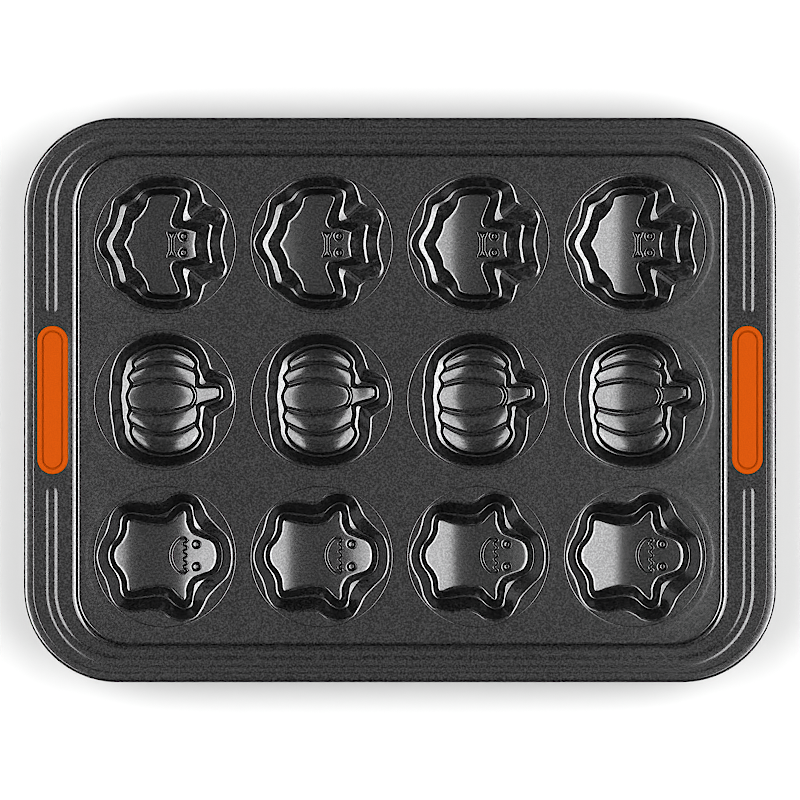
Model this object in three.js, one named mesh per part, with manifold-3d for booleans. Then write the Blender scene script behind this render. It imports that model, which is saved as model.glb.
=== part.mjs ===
// Halloween baking pan: a pressed frame sheet carries twelve figure cups, a wired rim and two soft grips.
// Millimetres, +Z up. The origin is on the table, under the middle of the pan. +X runs along the pan.
import * as THREE from 'three';
import { mergeVertices } from 'three/addons/utils/BufferGeometryUtils.js';
import Module from 'manifold-3d';

const wasm = await Module();
wasm.setup();

// Driving sizes: sheet, cups and their seams
const SHEET = 0.8; // coated steel of the frame and the cups
const CUP_DEPTH = 22; // from the top of a cup's seam flange to its lowest floor
const WALL_TILT = 62; // mean slope of the cup walls, in degrees, used to keep the sheet even
const MOULD_REACH = 35.8; // from a cup's centre to the farthest point of its lip
const LIP_BORDER = 1.5; // from that point to the edge of the deck window
const SEAM_LAP = 3; // seam flange hidden under the deck
const SEAM_GAP = 0.1; // between the deck and a seam flange
const CUP_SPACING = 2.9; // between the seam flanges of neighbouring cups
const COLUMNS = 4;
const SHELF_FALL = 0.9; // the shelf in a cup wall drops by this much towards the cup

// Driving sizes: floors of the three figures, heights above the lowest floor
const FLOOR_RADIUS = 110; // every floor is dished from end to end of its figure, round a crosswise axis
const FLOOR_FLAT = 0.4; // share of a bat's or ghost's floor that is left flat, for the pan to stand on
const FLOOR_MIDDLE = -3; // the middle of that flat, along the figure
const BAT_SHELF = 10.5;
const GHOST_SHELF = 7.2;
const PUMPKIN_SHELF = 7;
const LOBE_VALLEYS = [2.2, 0.8, 0, 0.8, 2.2]; // lowest line of each pumpkin lobe
const RIDGE_HEIGHT = 1.3; // ridge over the higher of its two lobes
const STEM_RISE = 1.6; // the stem's tip over its root

// Driving sizes: deck, flange and rim
const DECK_MARGIN_END = 4.7; // deck left beyond the last seam flange, towards the grips
const DECK_MARGIN_SIDE = 5.7; // the same, towards the long sides
const DECK_CORNER = 27;
const STEP_RISE = 3.5; // flange over deck
const STEP_RUN = 2.7;
const RIM_CORNER = 50;
const WIRE_RADIUS = 1.6;
const WIRE_CLEARANCE = 0.3;
const RIM_CROWN = 1.5; // top of the curl over the flange
const CURL_END = -150; // the curl stops here, in degrees from straight out
const BEAD_RISE = 1.2;
const BEAD_FOOT = 3.1; // half width of the bead where it leaves the flange
const BEAD_CROWN = 1.3; // half width of its flat top
const BEAD_INSET_END = 9.6; // bead's middle from the foot of the curl, at the short ends
const BEAD_INSET_SIDE = 5.7; // the same, along the long sides
const BEAD_TO_STEP = 4.1; // flange between bead and step along the long sides
const BEAD_TO_GRIP = 5.4; // the bead stops this far from a grip's end
const BEAD_RUNOUT = 3.2; // length over which the bead fades

// Driving sizes: grips
const GRIP_LENGTH = 79;
const GRIP_WIDTH = 16.4;
const GRIP_MARGIN = 2; // flange between the foot of the curl and the grip
const GRIP_TO_STEP = 3.6; // flange between the grip and the step
const GRIP_LIP = 2.4; // pad that overlaps the flange round the slot
const GRIP_RISE = 1.8; // top pad
const GRIP_DROP = 2.2; // bottom pad
const GRIP_ROUND = 0.7; // rounding of the pads' edges
const GRIP_BORDER = 2.9; // raised border round the sunk panel
const GRIP_PANEL_DROP = 0.4;
const GRIP_SEAT = 0.1; // between the pads and the sheet
const SLOT_CLEARANCE = 0.3; // between the neck and the slot

// Facets
const CORNER_STEPS = 6;
const WINDOW_STEPS = 30;
const CURL_STEPS = 8;
const WIRE_SIDES = 6;
const GRIP_END_STEPS = 8;

// Figure outlines: floor x and y, lip x and y, and the shares of the wall, from floor to lip, where the
// shelf begins and ends. The head or stem points to +X. A bat and a ghost are the mirrored half. The pumpkin's
// outline has one point for each valley and ridge at either end of the lobes, and names those that the floor
// starts from.
const BAT = [
  [-22.4, 0.0, -35.4, 0.0, 0.52, 0.68], // tail
  [-20.3, 4.3, -33.9, 4.6, 0.52, 0.68],
  [-18.8, 8.2, -30.0, 10.2, 0.54, 0.71],
  [-18.0, 12.3, -28.2, 16.8, 0.52, 0.7], // point between the two scallops
  [-14.3, 15.6, -26.9, 22.6, 0.55, 0.74],
  [-11.4, 20.4, -21.4, 27.0, 0.42, 0.57],
  [-9.9, 25.2, -14.6, 32.0, 0.38, 0.52], // back of the wing tip
  [-5.0, 26.9, -6.4, 34.8, 0.32, 0.47],
  [1.0, 27.2, 3.2, 35.3, 0.3, 0.44],
  [5.2, 26.4, 11.2, 34.0, 0.37, 0.5],
  [6.9, 24.4, 17.0, 30.8, 0.42, 0.56], // front of the wing tip
  [5.2, 19.8, 19.3, 26.0, 0.41, 0.5],
  [3.4, 15.4, 20.6, 22.0, 0.36, 0.465],
  [2.5, 11.8, 24.0, 19.5, 0.305, 0.456], // shoulder
  [4.2, 9.4, 28.6, 18.5, 0.26, 0.434],
  [9.2, 8.6, 31.4, 16.0, 0.39, 0.486],
  [15.0, 7.0, 32.1, 12.4, 0.48, 0.56], // ear
  [15.3, 4.6, 30.9, 8.2, 0.49, 0.57],
  [14.7, 0.0, 29.5, 0.0, 0.505, 0.595], // crown
];
const GHOST = [
  [-28.2, 0.0, -35.8, 0.0, 0.3, 0.43], // middle of the hem
  [-27.1, 4.4, -34.4, 6.2, 0.3, 0.43],
  [-24.0, 8.2, -31.5, 11.6, 0.3, 0.43],
  [-21.9, 12.6, -29.9, 16.4, 0.3, 0.43],
  [-21.3, 18.0, -28.2, 22.0, 0.33, 0.48], // corner of the hem
  [-19.0, 19.4, -23.6, 27.2, 0.4, 0.53],
  [-12.4, 17.6, -15.4, 29.2, 0.34, 0.48],
  [-5.0, 16.5, -6.2, 28.2, 0.36, 0.5],
  [1.4, 17.6, -0.6, 30.0, 0.36, 0.5],
  [6.2, 22.2, 3.8, 32.9, 0.36, 0.5],
  [9.2, 24.2, 9.8, 34.0, 0.36, 0.5], // hand
  [10.7, 22.0, 16.2, 31.6, 0.44, 0.55],
  [10.7, 17.2, 19.8, 26.8, 0.38, 0.5],
  [13.2, 12.6, 22.6, 21.2, 0.27, 0.46], // neck
  [18.0, 10.4, 28.0, 15.2, 0.28, 0.42],
  [23.4, 8.2, 32.6, 10.6, 0.33, 0.44],
  [26.0, 4.4, 34.6, 5.8, 0.35, 0.45],
  [26.7, 0.0, 35.2, 0.0, 0.34, 0.45], // crown
];
const PUMPKIN = [
  [-19.8, 2.0, -28.7, 2.0, 0.18, 0.35], // end of the middle lobe
  [-18.4, -4.8, -28.1, -4.4, 0.19, 0.33],
  [-19.4, -9.0, -27.8, -9.0, 0.19, 0.35], // end of the fourth lobe
  [-17.9, -13.4, -27.0, -14.0, 0.2, 0.35],
  [-17.9, -17.6, -26.2, -19.4, 0.2, 0.36, 'fifth lobe, left'],
  [-15.0, -22.6, -23.4, -26.2, 0.2, 0.36],
  [-8.6, -26.6, -14.6, -32.4, 0.2, 0.34],
  [-0.4, -28.0, -1.2, -35.0, 0.18, 0.32],
  [8.0, -26.6, 11.2, -33.4, 0.2, 0.34],
  [13.6, -23.0, 19.8, -28.8, 0.22, 0.38],
  [16.6, -17.8, 24.4, -21.6, 0.21, 0.36, 'fifth lobe, right'],
  [15.4, -12.8, 25.6, -14.0, 0.22, 0.38],
  [15.7, -7.0, 26.0, -9.0, 0.21, 0.36], // end of the fourth lobe
  [16.2, -2.2, 29.4, -6.2, 0.2, 0.35, 'stem, lower root'],
  [26.2, 1.3, 34.2, -2.6, 0.21, 0.34],
  [27.6, 3.8, 35.4, 2.6, 0.21, 0.34], // tip of the stem
  [26.2, 6.5, 33.4, 10.6, 0.21, 0.34],
  [16.0, 6.6, 28.0, 14.6, 0.2, 0.42, 'stem, upper root'],
  [14.9, 12.4, 24.2, 16.0, 0.29, 0.41],
  [14.2, 16.2, 22.9, 19.0, 0.28, 0.4],
  [14.3, 19.4, 21.0, 24.2, 0.26, 0.38, 'first lobe, right'],
  [11.2, 23.4, 16.8, 29.6, 0.24, 0.37],
  [5.6, 26.3, 8.8, 33.6, 0.2, 0.34],
  [-1.0, 27.4, -1.4, 35.0, 0.17, 0.32],
  [-7.6, 26.2, -11.0, 33.3, 0.18, 0.34],
  [-13.2, 23.2, -18.8, 29.4, 0.2, 0.37],
  [-16.7, 19.6, -24.0, 23.8, 0.2, 0.37, 'first lobe, left'],
  [-16.2, 16.2, -26.8, 18.0, 0.2, 0.36],
  [-19.0, 12.4, -28.0, 12.6, 0.2, 0.36], // end of the second lobe
  [-17.8, 8.2, -28.0, 7.6, 0.19, 0.35],
];
// How far the lines along the pumpkin's lobes bow sideways, from the first lobe to the fifth. Valleys and
// ridges take turns.
const LOBE_BOWS = [4.2, 3.6, 3.1, 3.6, 0, -3.8, -4.7, -5, -5.3];
const STEM_ROOT = [16.1, 2.2]; // middle of the ridge between stem and lobe
const LOBE_ROOT = [13.8, 2.2]; // end of the middle lobe under that ridge

// Derived sizes
const radians = THREE.MathUtils.degToRad;
const shellShift = SHEET * Math.tan(radians(WALL_TILT) / 2);
const windowRadius = MOULD_REACH + LIP_BORDER;
const seamRadius = windowRadius + SEAM_LAP;
const cupPitch = 2 * seamRadius + CUP_SPACING;
const cupTop = CUP_DEPTH + SHEET;
const deckBottom = cupTop + SEAM_GAP;
const deckTop = deckBottom + SHEET;
const flangeTop = deckTop + STEP_RISE;
const curlInner = WIRE_RADIUS + WIRE_CLEARANCE;
const curlOuter = curlInner + SHEET;
const curlHeight = flangeTop + RIM_CROWN - curlOuter;
const curlFootAngle = Math.PI - Math.asin((flangeTop - curlHeight) / curlOuter);
const curlFootAngleUnder = Math.PI - Math.asin((flangeTop - SHEET - curlHeight) / curlInner);
const curlFoot = curlOuter - curlOuter * Math.cos(curlFootAngle);
const flangeEnd = curlFoot + GRIP_MARGIN + GRIP_WIDTH + GRIP_TO_STEP + STEP_RUN;
const flangeSide = curlFoot + BEAD_INSET_SIDE + BEAD_FOOT + BEAD_TO_STEP + STEP_RUN;
const halfLength = ((COLUMNS - 1) / 2) * cupPitch + seamRadius + DECK_MARGIN_END + flangeEnd;
const halfWidth = cupPitch + seamRadius + DECK_MARGIN_SIDE + flangeSide;
const beadEnd = GRIP_LENGTH / 2 + BEAD_TO_GRIP;
const gripPlace = halfLength - curlFoot - GRIP_MARGIN - GRIP_WIDTH / 2;

// Skins of points and triangles

function band(here, there, count) {
  const triangles = [];
  for (let i = 0; i < count; i++) {
    const j = (i + 1) % count;
    triangles.push([here + i, there + j, here + j], [here + i, there + i, there + j]);
  }
  return triangles;
}

// Rings of equally many points, counterclockwise from above, joined in order. The skin faces up where the
// rings grow. Poles close the first and last ring, and closed joins the last ring to the first.
function loft(rings, { startPole, endPole, closed = false } = {}) {
  const count = rings[0].length;
  const points = rings.flat();
  const triangles = [];
  rings.slice(1).forEach((_, index) => triangles.push(...band(index * count, (index + 1) * count, count)));
  const last = (rings.length - 1) * count;
  if (closed) triangles.push(...band(last, 0, count));
  if (startPole) {
    points.push(startPole);
    for (let i = 0; i < count; i++) triangles.push([points.length - 1, i, (i + 1) % count]);
  }
  if (endPole) {
    points.push(endPole);
    for (let i = 0; i < count; i++) triangles.push([points.length - 1, last + ((i + 1) % count), last + i]);
  }
  return { points, triangles };
}

function turnedOver({ points, triangles }) {
  return { points, triangles: triangles.map(([a, b, c]) => [a, c, b]) };
}

// Joins skins into one geometry. Triangles that share two corners have no area and are left out.
function geometryOf(...skins) {
  const positions = [];
  for (const { points, triangles } of skins) {
    for (const [a, b, c] of triangles) {
      const corners = [points[a], points[b], points[c]];
      const flat = corners.some((corner, i) => corner.distanceTo(corners[(i + 1) % 3]) === 0);
      if (!flat) corners.forEach((corner) => positions.push(...corner.toArray()));
    }
  }
  const geometry = new THREE.BufferGeometry();
  geometry.setAttribute('position', new THREE.Float32BufferAttribute(positions, 3));
  return mergeVertices(geometry, 1e-4);
}

function solidOf(geometry) {
  const vertProperties = new Float32Array(geometry.attributes.position.array);
  const triVerts = new Uint32Array(geometry.index.array);
  return new wasm.Manifold(new wasm.Mesh({ numProp: 3, vertProperties, triVerts }));
}

function cut(geometry, tools) {
  const solid = tools.reduce((left, tool) => left.subtract(solidOf(tool)), solidOf(geometry));
  const mesh = solid.getMesh();
  const result = new THREE.BufferGeometry();
  result.setAttribute('position', new THREE.Float32BufferAttribute(mesh.vertProperties, 3));
  result.setIndex(new THREE.Uint32BufferAttribute(mesh.triVerts, 1));
  return result;
}

const lift = (ring, z) => ring.map((point) => new THREE.Vector3(point.x, point.y, z));

// Cups

// Moves a closed outline outwards, each point along the mean of its two edges' normals.
function grow(outline, distance) {
  return outline.map((point, i) => {
    const before = outline[(i + outline.length - 1) % outline.length];
    const after = outline[(i + 1) % outline.length];
    const along = after.clone().sub(before).normalize();
    return new THREE.Vector2(point.x + along.y * distance, point.y - along.x * distance);
  });
}

// Reads a figure's rows, scaled so that its lip just reaches MOULD_REACH.
function readFigure(rows, mirrored) {
  const halves = rows.map(([fx, fy, lx, ly, inner, outer]) => [fx, -fy, lx, -ly, inner, outer]);
  const closed = mirrored ? [...halves, ...rows.slice(1, -1).reverse()] : rows;
  const scale = MOULD_REACH / Math.max(...closed.map(([, , x, y]) => Math.hypot(x, y)));
  const floor = closed.map(([x, y]) => new THREE.Vector2(x * scale, y * scale));
  const lip = closed.map(([, , x, y]) => new THREE.Vector2(x * scale, y * scale));
  const shelfInner = closed.map(([, , , , share], i) => floor[i].clone().lerp(lip[i], share));
  const shelfOuter = closed.map(([, , , , , share], i) => floor[i].clone().lerp(lip[i], share));
  return { scale, floor, shelfInner, shelfOuter, lip };
}

// The wall's rings from the floor's edge up to the rim of the seam flange. The underside has the same rings,
// moved out and down so that the sheet is equally thick on flats and walls.
function cupRings(figure, floorHeights, shelfHeight, underside) {
  const drop = underside ? SHEET : 0;
  const placed = (outline) => (underside ? grow(outline, shellShift) : outline);
  const shelf = shelfHeight - CUP_DEPTH - drop;
  const rim = figure.lip.map((point) => point.clone().setLength(seamRadius));
  const floorRing = placed(figure.floor).map(
    (point, i) => new THREE.Vector3(point.x, point.y, floorHeights[i] - CUP_DEPTH - drop),
  );
  return [
    floorRing,
    lift(placed(figure.shelfInner), shelf - SHELF_FALL),
    lift(placed(figure.shelfOuter), shelf),
    lift(placed(figure.lip), -drop),
    lift(rim, -drop),
  ];
}

const dish = (x) => (x * x) / (2 * FLOOR_RADIUS);

// A cup whose floor is dished round a flat middle.
function plainCup(rows, shelfHeight) {
  const figure = readFigure(rows, true);
  const heights = figure.floor.map((point) => dish(point.x));
  const middle = new THREE.Vector2(FLOOR_MIDDLE * figure.scale, 0);
  const flat = figure.floor.map((point) => middle.clone().lerp(point, FLOOR_FLAT));
  const side = (underside) => {
    const floor = -CUP_DEPTH - (underside ? SHEET : 0);
    const rings = [lift(flat, floor), ...cupRings(figure, heights, shelfHeight, underside)];
    return { rings, pole: new THREE.Vector3(middle.x, middle.y, floor) };
  };
  const top = side(false);
  const under = side(true);
  const rings = [...top.rings, ...under.rings.reverse()];
  return geometryOf(loft(rings, { startPole: top.pole, endPole: under.pole }));
}

// Places in the pumpkin's outline
const pumpkinPoint = (label) => PUMPKIN.findIndex((row) => row.includes(label));
const run = (from, to) => Array.from({ length: to - from + 1 }, (_, i) => from + i);
const firstLobeEdge = run(pumpkinPoint('first lobe, right'), pumpkinPoint('first lobe, left')).reverse();
const fifthLobeEdge = run(pumpkinPoint('fifth lobe, left'), pumpkinPoint('fifth lobe, right'));
const stemEdge = run(pumpkinPoint('stem, lower root'), pumpkinPoint('stem, upper root'));
const middleLine = (LOBE_BOWS.length - 1) / 2;

// The outline points where a line along the lobes starts and ends. The middle line ends at the stem's root.
function lineEnds(line) {
  const from = (firstLobeEdge[0] + line) % PUMPKIN.length;
  if (line < middleLine) return { from, to: firstLobeEdge.at(-1) - line };
  return { from, to: fifthLobeEdge.at(-1) + LOBE_BOWS.length - 1 - line };
}

const ridgeHeight = (lobe, next) => Math.max(LOBE_VALLEYS[lobe], LOBE_VALLEYS[next]) + RIDGE_HEIGHT;

// Height of a line along the lobes at the low middle of the dish.
function lineHeight(line) {
  if (line % 2 === 0) return LOBE_VALLEYS[line / 2];
  return ridgeHeight((line - 1) / 2, (line + 1) / 2);
}

// Heights round the floor's edge: the lines' ends, the outer edges of the first and fifth lobe, the stem.
function pumpkinHeights(floor) {
  const heights = floor.map((point) => dish(point.x));
  const raise = (indices, rise) => indices.forEach((index) => (heights[index] += rise));
  raise(firstLobeEdge.slice(1, -1), ridgeHeight(0, 0));
  raise(fifthLobeEdge.slice(1, -1), ridgeHeight(LOBE_VALLEYS.length - 1, LOBE_VALLEYS.length - 1));
  LOBE_BOWS.forEach((_, line) => {
    const { from, to } = lineEnds(line);
    raise(line === middleLine ? [from] : [from, to], lineHeight(line));
  });
  const root = heights[stemEdge[0]];
  stemEdge.slice(1, -1).forEach((index) => (heights[index] = root + STEM_RISE));
  return heights;
}

// One side of the pumpkin's floor: a grid of lines along the lobes, and the stem's floor beyond the middle
// lobe.
function pumpkinFloor(edge, scale, drop) {
  const bottom = -CUP_DEPTH - drop;
  const rootX = LOBE_ROOT[0] * scale;
  const rootHeight = bottom + dish(rootX) + lineHeight(middleLine);
  const lobeRoot = new THREE.Vector3(rootX, LOBE_ROOT[1] * scale, rootHeight);
  const columns = firstLobeEdge.length;
  const lines = LOBE_BOWS.map((bow, line) => {
    const { from, to } = lineEnds(line);
    const start = edge[from];
    const end = line === middleLine ? lobeRoot : edge[to];
    return Array.from({ length: columns }, (_, column) => {
      if (column === 0) return start;
      if (column === columns - 1) return end;
      const along = column / (columns - 1);
      const point = start.clone().lerp(end, along);
      point.y += bow * scale * (1 - (2 * along - 1) ** 2);
      point.z = bottom + dish(point.x) + lineHeight(line);
      return point;
    });
  });
  const pick = (indices) => indices.map((index) => edge[index]);
  const rows = [pick(firstLobeEdge), ...lines, pick(fifthLobeEdge)];
  const grid = { points: rows.flat(), triangles: [] };
  for (let row = 0; row + 1 < rows.length; row++) {
    for (let column = 0; column + 1 < columns; column++) {
      const here = row * columns + column;
      const below = here + columns;
      grid.triangles.push([here, below, below + 1], [here, below + 1, here + 1]);
    }
  }
  const stemPoints = pick(stemEdge);
  const stemRoot = new THREE.Vector3(STEM_ROOT[0] * scale, STEM_ROOT[1] * scale, stemPoints[0].z);
  const stem = { points: [stemRoot, lobeRoot, ...stemPoints], triangles: [] };
  const lastEdge = stemPoints.length + 1;
  for (let i = 2; i < lastEdge; i++) stem.triangles.push([0, i, i + 1]);
  stem.triangles.push([0, 1, 2], [0, lastEdge, 1]);
  return [grid, stem];
}

function pumpkinCup() {
  const figure = readFigure(PUMPKIN, false);
  const heights = pumpkinHeights(figure.floor);
  const top = cupRings(figure, heights, PUMPKIN_SHELF, false);
  const under = cupRings(figure, heights, PUMPKIN_SHELF, true);
  const wall = loft([...top, ...[...under].reverse()]);
  const floor = pumpkinFloor(top[0], figure.scale, 0);
  const floorUnder = pumpkinFloor(under[0], figure.scale, SHEET).map(turnedOver);
  return geometryOf(wall, ...floor, ...floorUnder);
}

// Frame sheet, rim wire and grips

// A round-cornered loop set in from the pan's outline. Its stations at the short ends are where the bead
// fades.
function panLoop(insetEnd, insetSide, z, crownRise = 0) {
  const radius = RIM_CORNER - ((RIM_CORNER - DECK_CORNER) * insetSide) / flangeSide;
  const x = halfLength - insetEnd;
  const y = halfWidth - insetSide;
  const point = (px, py, rise) => new THREE.Vector3(px, py, z + rise);
  const corner = (quarter) => {
    const sideX = quarter === 0 || quarter === 3 ? 1 : -1;
    const sideY = quarter < 2 ? 1 : -1;
    return Array.from({ length: CORNER_STEPS + 1 }, (_, step) => {
      const angle = ((quarter + step / CORNER_STEPS) * Math.PI) / 2;
      const px = sideX * (x - radius) + radius * Math.cos(angle);
      const py = sideY * (y - radius) + radius * Math.sin(angle);
      return point(px, py, crownRise);
    });
  };
  const shortEnd = (sideX) => [
    point(sideX * x, -sideX * (beadEnd + BEAD_RUNOUT), crownRise),
    point(sideX * x, -sideX * beadEnd, 0),
    point(sideX * x, sideX * beadEnd, 0),
    point(sideX * x, sideX * (beadEnd + BEAD_RUNOUT), crownRise),
  ];
  return [...shortEnd(1), ...corner(0), ...corner(1), ...shortEnd(-1), ...corner(2), ...corner(3)];
}

function curlLoops(radius, startAngle, endAngle) {
  return Array.from({ length: CURL_STEPS + 1 }, (_, step) => {
    const angle = THREE.MathUtils.lerp(startAngle, endAngle, step / CURL_STEPS);
    const inset = curlOuter - radius * Math.cos(angle);
    return panLoop(inset, inset, curlHeight + radius * Math.sin(angle));
  });
}

// Deck edge, step and bead from the inside out, on the top or the underside of the sheet.
function flangeLoops(underside) {
  const drop = underside ? SHEET : 0;
  const stepShift = underside ? SHEET * Math.tan(Math.atan2(STEP_RISE, STEP_RUN) / 2) : 0;
  const stepFoot = panLoop(flangeEnd - stepShift, flangeSide - stepShift, deckTop - drop);
  const headShift = stepShift + STEP_RUN;
  const stepHead = panLoop(flangeEnd - headShift, flangeSide - headShift, flangeTop - drop);
  const bead = [BEAD_FOOT, BEAD_CROWN, -BEAD_CROWN, -BEAD_FOOT].map((offset) => {
    const rise = Math.abs(offset) === BEAD_CROWN ? BEAD_RISE : 0;
    const insetEnd = curlFoot + BEAD_INSET_END + offset;
    return panLoop(insetEnd, curlFoot + BEAD_INSET_SIDE + offset, flangeTop - drop, rise);
  });
  return [stepFoot, stepHead, ...bead];
}

const cupCentre = (column, row) =>
  new THREE.Vector2((column - (COLUMNS - 1) / 2) * cupPitch, (1 - row) * cupPitch);

function windowRing(column, row, z) {
  const centre = cupCentre(column, row);
  return Array.from({ length: WINDOW_STEPS }, (_, step) => {
    const angle = (step / WINDOW_STEPS) * 2 * Math.PI;
    const reach = new THREE.Vector2(Math.cos(angle), Math.sin(angle)).multiplyScalar(windowRadius);
    return new THREE.Vector3(centre.x + reach.x, centre.y + reach.y, z);
  });
}

// A flat face, seen from above, of an outline with round holes in it.
function faceWithHoles(outline, holes) {
  const flat = (ring) => ring.map((point) => new THREE.Vector2(point.x, point.y));
  const points = [...outline, ...holes.flat()];
  const triangles = THREE.ShapeUtils.triangulateShape(flat(outline), holes.map(flat)).map(([a, b, c]) => {
    const left = points[b].clone().sub(points[a]);
    const right = points[c].clone().sub(points[a]);
    return left.cross(right).z > 0 ? [a, b, c] : [a, c, b];
  });
  return { points, triangles };
}

// A stadium outline: two straight sides and two round ends.
function stadium(length, width, z) {
  const radius = width / 2;
  const reach = length / 2 - radius;
  const end = (side) =>
    Array.from({ length: GRIP_END_STEPS + 1 }, (_, step) => {
      const angle = (step / GRIP_END_STEPS) * Math.PI + (side > 0 ? 0 : Math.PI);
      return new THREE.Vector3(radius * Math.cos(angle), side * reach + radius * Math.sin(angle), z);
    });
  return [...end(1), ...end(-1)];
}

const slotLength = GRIP_LENGTH - 2 * GRIP_LIP;
const slotWidth = GRIP_WIDTH - 2 * GRIP_LIP;

function slotTool(side) {
  const bottom = flangeTop - SHEET - STEP_RISE;
  const top = flangeTop + STEP_RISE;
  const rings = [stadium(slotLength, slotWidth, top), stadium(slotLength, slotWidth, bottom)];
  const poles = { startPole: new THREE.Vector3(0, 0, top), endPole: new THREE.Vector3(0, 0, bottom) };
  return geometryOf(loft(rings, poles)).translate(side * gripPlace, 0, 0);
}

function frameSheet() {
  const top = flangeLoops(false);
  const under = flangeLoops(true);
  const curlOutside = curlLoops(curlOuter, curlFootAngle, radians(CURL_END));
  const curlInside = curlLoops(curlInner, radians(CURL_END), curlFootAngleUnder);
  const border = loft([...top, ...curlOutside, ...curlInside, ...[...under].reverse()]);
  const places = Array.from({ length: COLUMNS * 3 }, (_, i) => [i % COLUMNS, Math.floor(i / COLUMNS)]);
  const holes = (z) => places.map(([column, row]) => windowRing(column, row, z));
  const deck = faceWithHoles(top[0], holes(deckTop));
  const deckUnder = turnedOver(faceWithHoles(under[0], holes(deckBottom)));
  const windowWalls = holes(deckTop).map((ring) => loft([lift(ring, deckBottom), ring]));
  const sheet = geometryOf(border, deck, deckUnder, ...windowWalls);
  return cut(sheet, [slotTool(-1), slotTool(1)]);
}

function rimWire() {
  const rings = Array.from({ length: WIRE_SIDES }, (_, step) => {
    const angle = Math.PI - ((step + 0.5) / WIRE_SIDES) * 2 * Math.PI;
    const inset = curlOuter - WIRE_RADIUS * Math.cos(angle);
    return panLoop(inset, inset, curlHeight + WIRE_RADIUS * Math.sin(angle));
  });
  return geometryOf(loft(rings, { closed: true }));
}

// One grommet: sunk panel, border, rounded top pad, neck in the slot, rounded bottom pad.
function grip() {
  const seatTop = GRIP_SEAT;
  const seatBottom = -SHEET - GRIP_SEAT;
  const top = seatTop + GRIP_RISE;
  const bottom = seatBottom - GRIP_DROP;
  const ring = (shrink, z) => stadium(GRIP_LENGTH - 2 * shrink, GRIP_WIDTH - 2 * shrink, z);
  const neck = GRIP_LIP + SLOT_CLEARANCE;
  const rings = [
    ring(GRIP_BORDER + GRIP_PANEL_DROP, top - GRIP_PANEL_DROP),
    ring(GRIP_BORDER, top),
    ring(GRIP_ROUND, top),
    ring(0, top - GRIP_ROUND),
    ring(0, seatTop),
    ring(neck, seatTop),
    ring(neck, seatBottom),
    ring(0, seatBottom),
    ring(0, bottom + GRIP_ROUND),
    ring(GRIP_ROUND, bottom),
  ];
  const startPole = new THREE.Vector3(0, 0, top - GRIP_PANEL_DROP);
  return geometryOf(loft(rings, { startPole, endPole: new THREE.Vector3(0, 0, bottom) }));
}

// Assembly

const coatedSteel = new THREE.MeshStandardMaterial({ color: 0x3b3c3e, roughness: 0.45, metalness: 0.5 });
const bareWire = new THREE.MeshStandardMaterial({ color: 0xa9abad, roughness: 0.35, metalness: 1 });
const silicone = new THREE.MeshStandardMaterial({ color: 0xe86008, roughness: 0.6, metalness: 0 });

function part(name, geometry, material, x = 0, y = 0, z = 0) {
  const mesh = new THREE.Mesh(geometry, material);
  mesh.name = name;
  mesh.position.set(x, y, z);
  return mesh;
}

const pan = new THREE.Group();
pan.add(part('frame_sheet', frameSheet(), coatedSteel));
pan.add(part('rim_wire', rimWire(), bareWire));
pan.add(part('grip_left', grip(), silicone, -gripPlace, 0, flangeTop));
pan.add(part('grip_right', grip(), silicone, gripPlace, 0, flangeTop));
const rowsOfCups = [
  ['bat_cup', plainCup(BAT, BAT_SHELF)],
  ['pumpkin_cup', pumpkinCup()],
  ['ghost_cup', plainCup(GHOST, GHOST_SHELF)],
];
rowsOfCups.forEach(([name, geometry], row) => {
  for (let column = 0; column < COLUMNS; column++) {
    const centre = cupCentre(column, row);
    pan.add(part(`${name}_${column + 1}`, geometry, coatedSteel, centre.x, centre.y, cupTop));
  }
});

export default pan;
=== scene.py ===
import math

import bpy
import numpy as np
from mathutils import Matrix, Vector


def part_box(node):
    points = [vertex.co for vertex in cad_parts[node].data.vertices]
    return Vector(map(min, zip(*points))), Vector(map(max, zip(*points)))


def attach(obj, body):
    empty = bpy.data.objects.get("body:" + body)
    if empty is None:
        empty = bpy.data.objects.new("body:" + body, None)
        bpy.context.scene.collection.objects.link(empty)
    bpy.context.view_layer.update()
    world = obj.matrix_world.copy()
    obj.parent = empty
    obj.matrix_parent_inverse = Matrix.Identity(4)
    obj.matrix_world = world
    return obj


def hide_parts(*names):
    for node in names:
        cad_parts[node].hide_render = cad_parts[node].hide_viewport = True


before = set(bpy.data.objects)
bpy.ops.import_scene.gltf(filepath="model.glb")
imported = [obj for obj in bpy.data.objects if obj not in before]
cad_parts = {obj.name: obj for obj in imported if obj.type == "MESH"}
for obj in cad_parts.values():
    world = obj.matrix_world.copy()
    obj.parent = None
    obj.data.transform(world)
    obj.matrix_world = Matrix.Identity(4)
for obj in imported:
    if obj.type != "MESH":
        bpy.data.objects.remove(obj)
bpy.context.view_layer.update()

MM = 0.001


def node_box(node):
    """Lowest and highest corner of a CAD node in millimetres."""
    low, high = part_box(node)
    return np.array(low) / MM, np.array(high) / MM


# Sizes taken from the frame
COLUMNS, ROWS = 4, 3
FIGURES = ("bat", "pumpkin", "ghost")  # from the top row down
half_length, half_width, rim_top = node_box("frame_sheet")[1]
bat_low, bat_high = node_box("bat_cup_1")
far_low = node_box(f"bat_cup_{COLUMNS}")[0]
seam_radius = (bat_high[0] - bat_low[0]) / 2
pitch = (far_low[0] - bat_low[0]) / (COLUMNS - 1)
cup_top = bat_high[2]
grip_low, grip_high = node_box("grip_right")

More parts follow.
